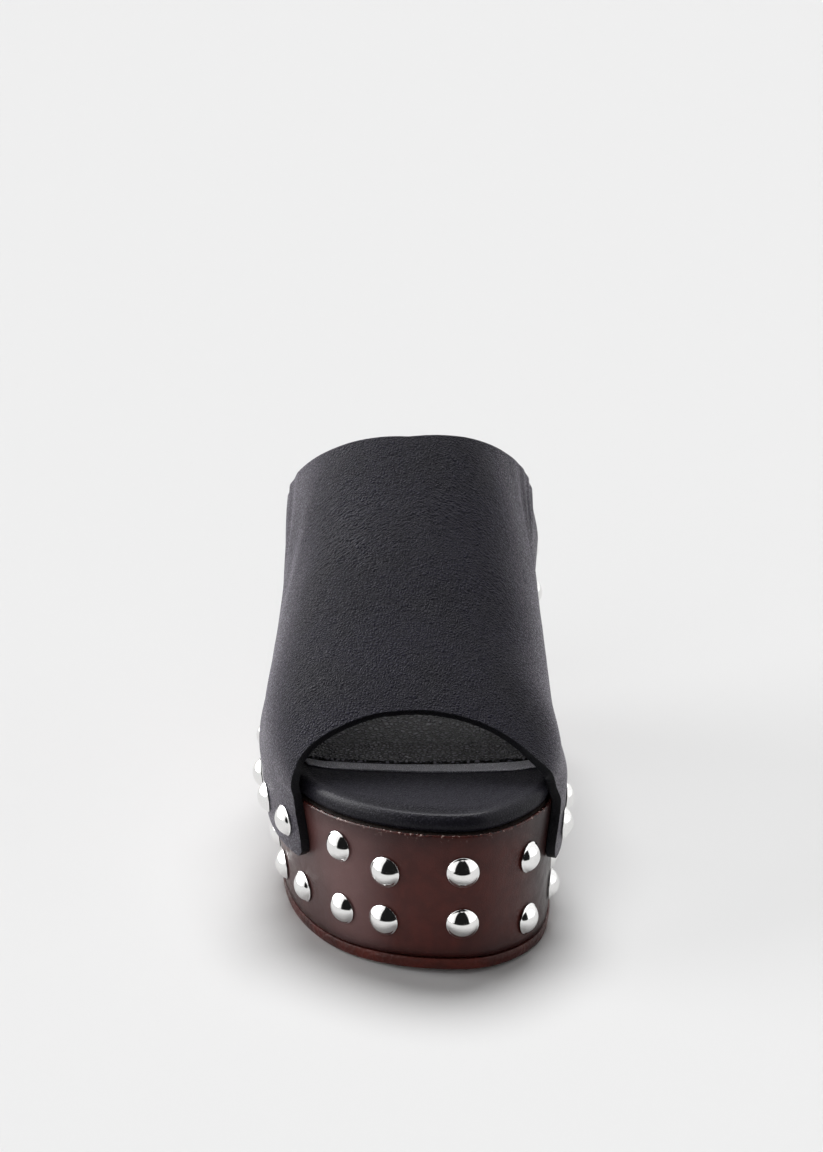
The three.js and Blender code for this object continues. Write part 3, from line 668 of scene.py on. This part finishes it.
def makeWrap():
    # closed band: up the outer wall, over a rounded raw lip and down the inner wall
    shape = wrapShape
    corners = [sole[key] for key in ("springEnd", "archStart", "breastTop", "breastFoot")]
    side, share = ringShares(shape["ring"], corners)
    y = alongOf(share)
    low = topHeight(y) - blockBottom(y)
    down = np.linspace(1, 0, shape["wallRows"])[:, None]
    lip = np.array(shape["lipDrop"])
    outerDrop = lip[0] + (low - lip[0]) * down
    innerDrop = lip[-1] + (low - lip[-1]) * down[::-1]
    lipDrop = np.broadcast_to(lip[1:-1, None], (len(lip) - 2, len(share)))
    drops = np.vstack([outerDrop, lipDrop, innerDrop, outerDrop[:1]])
    insets = np.concatenate([np.zeros(shape["wallRows"]), shape["lipInset"][1:-1],
                             np.full(shape["wallRows"], shape["thick"]), [0.0]])
    points = wallPoint(side, share, drops, -insets[:, None])
    slow, quick, fine = (share * turns for turns in shape["lipWaves"])
    wave = np.sin(slow) * np.sin(quick + side) + 0.6 * np.sin(fine + 2 * side)
    onLip = np.exp(-(drops / shape["lipReach"]) ** 2)
    points[..., 2] -= shape["roughLip"] * onLip * np.clip(wave, 0, 1) * np.sin(math.pi * share) ** 0.1
    masks = {"lip": onLip, "height": np.clip(drops / np.maximum(low, 1e-6), 0, 1)}
    piece = gridPiece("platformLeather", points, masks)
    piece.data.materials.append(brownLeather())
    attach(piece, "root")
    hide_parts("platform_wrap")


def brownLeather():
    # burnished hide: reddish clouds on dark brown, a painted highlight on the lateral side and a painted
    # shadow at the medial end, darker along its top and foot, with a raw lip of reddish fibres and pale
    # painted glints
    look = wrapLook
    material, shader, place = newMaterial("brownHide")
    tone = useGroup(rubbedTone, {"Vector": place, "Size": look["cloud"]})
    grain = useGroup(leatherGrain, {"Vector": place, "Cell": look["cell"], "Wrinkle": look["wrinkle"]})
    colour = mixColour(tone["Broad"], *look["body"])
    colour = mixColour(times(tone["Fine"], look["speckShare"]), colour, look["speck"])
    across = axisOf(place, 0)
    # painted highlight: a pale pink patch on the lateral side, where light from the left falls
    rise, fall = ramp(across, *look["paintedHighlightRise"]), ramp(across, *look["paintedHighlightFall"], 1.0, 0.0)
    clouds = plus(times(tone["Broad"], look["paintedHighlightClouds"]), look["paintedHighlightLeast"])
    colour = mixColour(times(times(rise, fall), clouds), colour, look["paintedHighlightColour"])
    # painted shadow: darker towards the medial end, where the tab of the upper shades the wall
    shade = ramp(across, *look["shadeRise"], 0.0, look["shadeShare"])
    colour = mixColour(shade, colour, look["shadeColour"])
    # darker along the wall's top and foot
    down = maskValue(shader, "height")
    nearTop = ramp(down, 0.0, look["darkerTopEnd"], look["darkerTop"], 0.0)
    nearFoot = ramp(down, look["darkerFootStart"], 1.0, 0.0, look["darkerFoot"])
    colour = mixColour(plus(nearTop, nearFoot), colour, look["darkerEdgeColour"])
    # raw lip: dark and reddish fibres, with pale specks that are partly pale fibres and partly painted glints
    frayed = noise(place, look["fibreScale"], 2.0)["Fac"]
    dark, red, paintedGlint = look["fibres"]
    fibre = mixColour(ramp(frayed, *look["redFibres"]), dark, red)
    fibre = mixColour(ramp(frayed, *look["paintedGlintFibres"]), fibre, paintedGlint)
    lip = maskValue(shader, "lip")
    rough = plus(times(tone["Fine"], look["roughClouds"]), look["rough"])
    setInputs(shader, {"Base Color": mixColour(lip, colour, fibre),
                       "Roughness": minus(rough, times(lip, look["lipGloss"])),
                       **look["fixed"]})
    addBump(shader, grain["Height"], look["depth"])
    return material


makeWrap()
print("platform leather made")


def bandPiece(name, shares, low, high, offset, bulge):
    # a plate between two heights: at each share the lateral wall, the top, the medial wall and the bottom,
    # with the walls bowed out by a half sine
    rise = np.linspace(0, 1, sole["wallRows"])
    y = alongOf(shares)[:, None]

    def wall(side):
        drop = topHeight(y) - (low(y) + (high(y) - low(y)) * rise)
        point = wallPoint(side, shares[:, None], drop, offset + bulge * np.sin(math.pi * rise))
        point[..., 2] = low(point[..., 1]) + (high(point[..., 1]) - low(point[..., 1])) * rise
        return point

    loop = ringOfWalls(wall(lateral), wall(medial), np.linspace(0, 1, sole["topColumns"]))
    piece = gridPiece(name, loop, capped=[row for row in (0, len(shares) - 1) if 0 < shares[row] < 1])
    softEdge(piece, sole["roundEdge"], sole["roundAngle"])
    return piece


soleLook = {
    "size": 0.012, "colourBy": "Broad", "speckle": 0.4, "roughBy": "Fine", "depth": 0.00012,
    "fixed": {"Specular IOR Level": 0.2},
}
soleEdge = {**soleLook, "dark": (.045, .0105, .0080), "light": (.105, .0205, .0145), "rough": (0.28, 0.43)}
heelRubber = {**soleLook, "dark": (.012, .011, .010), "light": (.026, .022, .020), "rough": (0.5, 0.65)}


def makeSole():
    shares = np.linspace(0, 1, sole["rows"])
    end = shareOf(sole["soleEnd"])
    front = np.append(shares[shares < end - sole["rowGap"]], end)
    outsole = bandPiece("outsoleLayer", front, floorHeight, lambda y: floorHeight(y) + sole["thick"],
                        sole["flange"], sole["soleBulge"])
    outsole.data.materials.append(rubbedFinish("soleEdge", soleEdge))
    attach(outsole, "root")
    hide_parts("outsole")
    start = shareOf(sole["breastFoot"] + sole["breastClear"])
    rear = np.insert(shares[shares > start + sole["rowGap"]], 0, start)
    tip = bandPiece("heelPiece", rear, lambda y: 0 * y, lambda y: 0 * y + sole["tipThick"],
                    0.0, sole["tipBulge"])
    tip.data.materials.append(rubbedFinish("heelRubber", heelRubber))
    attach(tip, "root")
    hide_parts("heel_tip")


makeSole()
print("outsole and heel piece made")

# Padded insole: rolled rim, a valley behind it that is deep at the lateral front, and a low crown
pad = {
    "thick": 6.0, "rows": 260, "profileSteps": 44, "acrossSteps": 30,
    "inset": [3.0, 1.5, 1.1, 1.7, 3.0, 5.0, 7.6, 9.0, 10.4, 13.0],
    "up": [0.0, 0.13, 0.46, 0.80, 0.965, 1.0, 0.975, 0.945, 0.92, 0.90], "valley": 1.3,
    "valleyInset": 5.6, "valleyWidth": 2.2, "valleyShare": 0.06, "valleyReach": 0.11,
    "valleyLeast": 0.12, "pucker": 0.10, "puckerTurns": 620, "puckerInset": 5.6, "puckerWidth": 2.6,
    "rollEnd": 2.2, "rollFade": 2.0,
}
padHide = {
    "dark": (.0062, .0058, .0098), "light": (.0096, .0090, .0145), "cell": 0.0010, "wrinkle": 0.15,
    "depth": 0.00036, "rough": 0.46, "mirror": 0.10, "sheen": 0.04, "coat": 0.17, "coatRough": 0.28,
    # valley entries: painted shade in the valley behind the roll
    "valleyShare": 0.8, "valleyShadeColour": (.001, .001, .001),
}
padUp = softCurve(pad["inset"][4:], pad["up"][4:])


def padHeight(y, inset):  # level of the pad over its rolled edge and its field
    return topHeight(y) + shoe["gap"] + pad["thick"] * padUp(inset)


def makeInsole():
    # rim profile along both sides and a field between them; the valley is exp(-d^2) across the rim and along
    # it, and the puckers are the upper halves of a product of two sines
    knots = np.linspace(0, 1, len(pad["inset"]))
    t = np.linspace(0, 1, pad["profileSteps"])
    inset, up = softCurve(knots, pad["inset"])(t), softCurve(knots, pad["up"])(t)
    share = np.linspace(0, 1, pad["rows"])
    y = alongOf(share)[:, None]

    def rim(side):
        point = wallPoint(side, share[:, None], 0, -inset)
        place = share[:, None] * pad["puckerTurns"] + side * 1.7
        pucker = np.sin(place) * np.sin(place * 0.37 + 1)
        pucker = np.maximum(pucker * np.exp(-((inset - pad["puckerInset"]) / pad["puckerWidth"]) ** 2), 0)
        spot = np.exp(-((share[:, None] * side + pad["valleyShare"]) / pad["valleyReach"]) ** 2)
        valley = pad["valleyLeast"] + (1 - pad["valleyLeast"]) * spot
        valley = valley * np.exp(-((inset - pad["valleyInset"]) / pad["valleyWidth"]) ** 2)
        dent = pad["pucker"] * pucker + pad["valley"] * valley
        point[..., 2] = topHeight(y) + shoe["gap"] + pad["thick"] * up - dent
        return point, valley

    (left, leftValley), (right, rightValley) = rim(lateral), rim(medial)
    loop = ringOfWalls(left, right, np.linspace(0, 1, pad["acrossSteps"]))
    middle = pad["acrossSteps"] - 2
    depth = np.concatenate([inset, np.full(middle, inset[-1]), inset[::-1], np.zeros(middle), inset[:1]])
    flat = np.zeros((len(share), middle))
    valley = np.concatenate([leftValley, flat, rightValley[:, ::-1], flat, leftValley[:, :1]], axis=1)
    roll = np.exp(-(np.maximum(depth - pad["rollEnd"], 0) / pad["rollFade"]) ** 2) * (1 - valley)
    piece = gridPiece("insolePad", loop, {"roll": roll, "valley": valley})
    piece.data.materials.append(blackLeather("padHide", padHide))
    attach(piece, "root")
    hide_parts("insole")


makeInsole()
print("insole made")

sock = {
    "thick": 1.1, "inset": 5.6, "front": 38.5, "bow": 4.1, "bowMiddle": 5.0, "bowHalf": 36.0,
    "bowFade": 60.0, "band": 7.4, "bandThick": 0.5, "stepWidth": 0.5, "skive": 1.6, "groove": 0.55,
    "grooveDepth": 0.5, "lift": 0.05, "least": 0.08, "rows": 420, "across": 90,
}
sockLook = {
    "cell": 0.0015, "wrinkle": 0.5, "bandCell": 0.0006, "bandWrinkle": 0.1, "bandHeight": 0.25,
    "bandPits": 0.8,
    "field": [(.185, .178, .208), (.002, .002, .0025)],  # pebbles and pits: the pale pebbles are painted light under the upper, the black pits partly painted shade
    # the band's pale greys are partly its own paler tone and partly painted light
    "fieldPits": (0.05, 0.75), "band": [(.74, .73, .80), (.26, .255, .285)], "grooveShadeEdge": (0.35, 0.8),
    "grooveShadeColour": (.002, .002, .002),
    "heelwards": (0.055, 0.090),  # metres behind the toe over which the painted light fades to the sock's own dark colour and it gets dull
    "heelShare": 0.85, "heelColour": (.006, .006, .0075), "heelRough": 0.36, "rough": 0.24,
    "mirror": 0.45, "depth": 0.0007,
}


def makeSock():
    # thin layer on the pad; its bowed and thinned front is a flat band, then a sewn groove exp(-d^2) and a
    # step up to the grained field
    start = shareOf(sock["front"])
    share = start + (1 - start) * np.linspace(0, 1, sock["rows"]) ** 1.25
    w = np.linspace(0, 1, sock["across"])
    left = wallPoint(lateral, share, 0, -sock["inset"])[:, None]
    right = wallPoint(medial, share, 0, -sock["inset"])[:, None]
    flat = left + (right - left) * w[None, :, None]
    bow = sock["bow"] * ((flat[:1, :, 0] - sock["bowMiddle"]) / sock["bowHalf"]) ** 2
    flat[..., 1] += bow * np.clip(1 - (flat[..., 1] - sock["front"]) / sock["bowFade"], 0, 1)
    behind = flat[..., 1] - (sock["front"] + bow)
    step = np.clip((behind - sock["band"]) / sock["stepWidth"], 0, 1)
    groove = np.exp(-((behind - sock["band"]) / (0.5 * sock["groove"])) ** 2)
    thick = sock["bandThick"] + (sock["thick"] - sock["bandThick"]) * step ** 2 * (3 - 2 * step)
    thick = thick - sock["grooveDepth"] * groove
    columns = np.minimum(w, 1 - w)[None, :] * (sock["across"] - 1)
    thick = thick * np.clip(behind / sock["skive"], 0.2, 1) * np.clip(0.55 + 0.25 * columns, 0, 1)
    width = np.linalg.norm(right - left, axis=-1)
    base = padHeight(flat[..., 1], sock["inset"] + width * np.minimum(w, 1 - w)) + sock["lift"]
    top, under = flat.copy(), flat.copy()
    top[..., 2], under[..., 2] = base + np.maximum(thick, sock["least"]), base
    loop = np.concatenate([top, under[:, ::-1], top[:, :1]], axis=1)
    band = behind < sock["band"]
    masks = {"band": np.concatenate([band, band, band[:, :1]], axis=1),
             "grooveShade": np.concatenate([groove, groove * 0, groove[:, :1]], axis=1)}
    piece = gridPiece("sockLeather", loop, masks, capped=[0])
    piece.data.materials.append(sockHide())
    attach(piece, "root")
    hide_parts("sock")


def sockHide():
    # pebbled field and finer, paler band by the mesh's masks, with painted light that fades to the sock's own
    # dark and duller towards the heel
    look = sockLook
    material, shader, place = newMaterial("sockHide")
    grain, smooth = (
        useGroup(leatherGrain, {"Vector": place, "Cell": look[cell], "Wrinkle": look[wrinkle]})
        for cell, wrinkle in (("cell", "wrinkle"), ("bandCell", "bandWrinkle")))
    band = maskValue(shader, "band")
    field = mixColour(ramp(grain["Pits"], *look["fieldPits"]), *look["field"])
    strip = mixColour(times(smooth["Pits"], look["bandPits"]), *look["band"])
    colour = mixColour(band, field, strip)
    # painted shade: the colour goes black along the sewn groove
    grooveShade = ramp(maskValue(shader, "grooveShade"), *look["grooveShadeEdge"])
    colour = mixColour(grooveShade, colour, look["grooveShadeColour"])
    near, far = look["heelwards"]
    heelwards = ramp(axisOf(place, 1), toeTipY + near, toeTipY + far)
    colour = mixColour(times(heelwards, look["heelShare"]), colour, look["heelColour"])
    rough = plus(times(heelwards, look["heelRough"]), look["rough"])
    setInputs(shader, {"Base Color": colour, "Roughness": rough, "Specular IOR Level": look["mirror"]})
    height = mixValue(band, grain["Height"], times(smooth["Height"], look["bandHeight"]))
    addBump(shader, height, look["depth"])
    return material


makeSock()
print("sock made")

# Studs: distance from the toe tip (share of the length), drop below the edge (share of the toe height)
studs = {
    "radius": 4.9,
    "height": 3.0,
    "lift": 0.25,
    "waistLift": 0.45,
    "around": 40,
    "rings": 12,
    "capEnd": 0.93,  # share of the cap that is drawn above the skirt
    "skirtRadius": [1.0, 1.0, 0.95, 0.0],  # shares of the radius
    "skirtHeight": [0.28, 0.10, 0.0, 0.0],
    "upper_lateral": [(.0236, .298), (.069, .2), (.1638, .187), (.2515, .204), (.3245, .217),
                      (.4061, .217), (.4891, .217), (.5721, .217), (.6572, .217), (.7511, .261),
                      (.8472, .261), (.9389, .261)],
    "upper_medial": [(.0004, .257), (.0681, .274), (.1721, .226), (.2541, .217), (.3384, .217),
                     (.4236, .217), (.5087, .217), (.5939, .217), (.6747, .217), (.7773, .261),
                     (.869, .261), (.9563, .261)],
    "lower_lateral": [(.0258, .65), (.069, .652), (.1537, .663), (.2511, .707), (.3362, .696),
                      (.4323, .696), (.7511, .783), (.8472, .783), (.9389, .783)],
    "lower_medial": [(.0004, .624), (.0725, .726), (.1834, .696), (.2795, .696), (.3843, .696),
                     (.7773, .783), (.869, .783), (.9563, .783)],
}
nickelLook = {
    "size": 0.003, "colourBy": "Fine", "dark": (.80, .79, .78), "light": (.88, .88, .87),
    "roughBy": "Fine", "rough": (0.05, 0.12), "fixed": {"Metallic": 1.0},
}


def studFrames(row):
    # place and square directions of each stud on the wall, or on the leather where the upper covers it
    side = lateral if row.endswith("lateral") else medial
    along, drop = np.array(studs[row]).T
    y, drop = along * shoe["length"], drop * shoe["toeHeight"]
    shape = upperShape
    girth = shape["featherShare"] * (shape["over"] - drop) / (shape["over"] + sectionWidest(y))
    onLeather = (girth > 0) & (y > edgeLine("mouth", side, girth)) & (y < edgeLine("topline", side, girth))
    waist = (y > sole["archStart"]) & (y < sole["breastFoot"])
    lift = np.where(waist, studs["waistLift"], studs["lift"])
    lift = lift + np.where(onLeather, shape["thick"] + shoe["gap"], 0)
    share = shareOf(y)
    place = wallPoint(side, share, drop, lift)
    nx, ny = normalAt(np.full(len(share), side), share)
    aim = np.stack([nx, ny, -leanAt(side, share)], -1)
    aim /= np.linalg.norm(aim, axis=-1, keepdims=True)
    flat = np.stack([-ny, nx, 0 * nx], -1)
    return place, aim, flat, np.cross(aim, flat)


def makeStuds():
    # dome: a spherical cap on a short rolled skirt, closed by a flat back
    radius, height = studs["radius"], studs["height"]
    ball = (radius ** 2 + height ** 2) / (2 * height)
    spread = np.linspace(0, math.asin(radius / ball) * studs["capEnd"], studs["rings"])
    ringRadius = np.concatenate([ball * np.sin(spread), sized(studs["skirtRadius"], radius)])[:, None]
    ringHeight = np.concatenate([height - ball * (1 - np.cos(spread)), studs["skirtHeight"]])
    turn = np.linspace(0, 2 * math.pi, studs["around"] + 1)
    nickel = rubbedFinish("nickel", nickelLook)
    for row in ("upper_lateral", "upper_medial", "lower_lateral", "lower_medial"):
        place, aim, flat, rise = studFrames(row)
        local = (ringRadius * np.cos(turn))[None, ..., None] * flat[:, None, None]
        local = local + (ringRadius * np.sin(turn))[None, ..., None] * rise[:, None, None]
        local = local + ringHeight[None, :, None, None] * aim[:, None, None]
        points = place[:, None, None] + local
        count, rings, around = points.shape[:3]
        quads = [quad for i in range(count) for quad in gridQuads(rings, around, i * rings * around)]
        piece = finishMesh("studs_" + row, points, quads)
        piece.data.materials.append(nickel)
        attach(piece, "root")
        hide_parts(*[f"stud_{row}_{i + 1:02d}" for i in range(count)])


makeStuds()
print("studs made")

# the block's own dark wood, kept near black also as painted shade where it shows in the gap under the pad
blockWood = {
    "stretch": (1.0, 0.12, 1.0), "size": 0.006, "colourBy": "Broad", "dark": (.020, .013, .011),
    "light": (.034, .021, .016), "roughBy": "Fine", "rough": (0.55, 0.75), "depth": 0.0001, "fixed": {},
}
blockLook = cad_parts["platform"].data.materials
blockLook.clear()
blockLook.append(rubbedFinish("blockWood", blockWood))
print("block dressed")

# Studio: a pale floor, sun lamps from behind, in front, left and right, and a white surround that only
# mirrored rays see, with a glow at the left and a dark opening in front that shows in the studs
studio = {
    "floorTone": 0.778, "floorHalf": 12.0, "surround": 1.12,
    "backdrop": 0.87,  # strength that the camera sees above the floor's far edge
    "opening": 0.01, "openingHalfTurn": 47.0, "openingLow": -20.0, "openingHigh": 73.0,
    "turnSoft": 0.05,  # half widths of the soft borders, in radians
    "lowSoft": 0.03, "highSoft": 0.05,
    "wedgeBehind": 0.03,  # the floor's dark wedge starts this far behind the toe, in metres
    "darkFrom": 0.10,  # distance in front of the toe from which mirrored floor is dark, in metres
    "darkSoft": 0.01, "leftGlow": 9.5, "leftTurn": -119.0, "leftHeight": 33.0, "leftHalf": 36.0,
    # name, power, spread, turn (0 on the camera's side, 180 behind), height, mirrored or not
    "lamps": [("key", 3.0, 36.0, 180.0, 64.0, True), ("front", 0.70, 60.0, -12.0, 35.0, False),
              ("left", 1.5, 50.0, -88.0, 11.0, True), ("right", 0.3, 60.0, 80.0, 11.0, True)],
}


def towards(turn, height):  # direction from the shoe to a turn and a height in degrees
    turn, rise = math.radians(turn), math.radians(height)
    return math.sin(turn) * math.cos(rise), -math.cos(turn) * math.cos(rise), math.sin(rise)


def inOpening(turn):  # 1 within the opening's turn to both sides of the front
    edge, soft = math.radians(studio["openingHalfTurn"]), studio["turnSoft"]
    return ramp(calc("ABSOLUTE", turn), edge - soft, edge + soft, 1.0, 0.0)


def makeFloor():
    material, shader, place = newMaterial("paleFloor")
    ahead = minus(toeTipY, axisOf(place, 1))
    turn = calc("ARCTAN2", axisOf(place, 0), plus(ahead, studio["wedgeBehind"]))
    start, soft = studio["darkFrom"], studio["darkSoft"]
    wedge = times(inOpening(turn), ramp(ahead, start - soft, start + soft))
    mirrored = addNode(shader.id_data, "ShaderNodeLightPath")["Is Glossy Ray"]
    tone = mixColour(times(wedge, mirrored), (studio["floorTone"],) * 3, (studio["opening"],) * 3)
    setInputs(shader, {"Base Color": tone, "Roughness": 1.0, "Specular IOR Level": 0.0})
    half = studio["floorHalf"]
    mesh = bpy.data.meshes.new("floor")
    corners = [(-half, -half, 0), (half, -half, 0), (half, half, 0), (-half, half, 0)]
    mesh.from_pydata(corners, [], [(0, 1, 2, 3)])
    mesh.materials.append(material)
    addObject("floor", mesh)


def makeLamp(name, power, spread, turn, height, mirrored):
    lamp = bpy.data.lights.new(name, "SUN")
    lamp.energy = power
    lamp.angle = math.radians(spread)
    holder = addObject(name, lamp)
    holder.rotation_euler = Vector(towards(turn, height)).to_track_quat("Z", "Y").to_euler()
    holder.visible_glossy = mirrored


def makeSurround():
    # strength over the sphere: full outside a rectangle of turn and height with soft borders, dark inside it
    world = bpy.data.worlds.new("whiteTent")
    bpy.context.scene.world = world
    world.cycles_visibility.diffuse = False
    world.use_nodes = True
    tree = world.node_tree
    tree.nodes.clear()
    heading = addNode(tree, "ShaderNodeTexCoord")["Generated"]
    x, y, z = (axisOf(heading, axis) for axis in range(3))
    rise = calc("ARCSINE", z)
    low, lowSoft = math.radians(studio["openingLow"]), studio["lowSoft"]
    high, highSoft = math.radians(studio["openingHigh"]), studio["highSoft"]
    above = ramp(rise, low - lowSoft, low + lowSoft)
    below = ramp(rise, high - highSoft, high + highSoft, 1.0, 0.0)
    ahead = inOpening(calc("ARCTAN2", x, times(y, -1.0)))
    window = times(ahead, times(above, below))
    left = towards(studio["leftTurn"], studio["leftHeight"])
    beside = vector("DOT_PRODUCT", {0: heading, 1: left})["Value"]
    glow = ramp(beside, math.cos(math.radians(studio["leftHalf"])), 1.0, 0.0, studio["leftGlow"])
    shut = ramp(window, 0.0, 1.0, 1.0, studio["opening"])
    strength = times(plus(glow, studio["surround"]), shut)
    seen = addNode(tree, "ShaderNodeLightPath")["Is Camera Ray"]
    strength = mixValue(seen, strength, studio["backdrop"])
    light = follow("ShaderNodeBackground", {"Color": (1.0, 1.0, 1.0), "Strength": strength})[0]
    addNode(tree, "ShaderNodeOutputWorld", {0: light})


# Camera fitted to the photograph: a point on the toe, its pixel, the distance and the focal length in pixels
view = {
    "aim": (0.0, 0.0, 2.5), "aimPixel": (411.5, 971.0), "frame": (823, 1152), "distance": 1000.0,
    "elevation": 25.0, "focalPixels": 3320.0, "sensor": 36.0,
}


def makeCamera():
    data = bpy.data.cameras.new("camera")
    data.sensor_width = view["sensor"]
    data.lens = view["focalPixels"] / max(view["frame"]) * view["sensor"]
    camera = addObject("camera", data)
    rise = math.radians(view["elevation"])
    back = Vector((0.0, -math.cos(rise), math.sin(rise)))
    camera.location = Vector(put(view["aim"])) + back * view["distance"] * mm
    below = math.atan((view["aimPixel"][1] - view["frame"][1] / 2) / view["focalPixels"])
    look = Vector((0.0, math.cos(rise - below), -math.sin(rise - below)))
    camera.rotation_euler = look.to_track_quat("-Z", "Y").to_euler()
    bpy.context.scene.camera = camera


makeFloor()
makeSurround()
for lampValues in studio["lamps"]:
    makeLamp(*lampValues)
makeCamera()
bpy.context.scene.view_settings.view_transform = "Standard"
print("studio made")
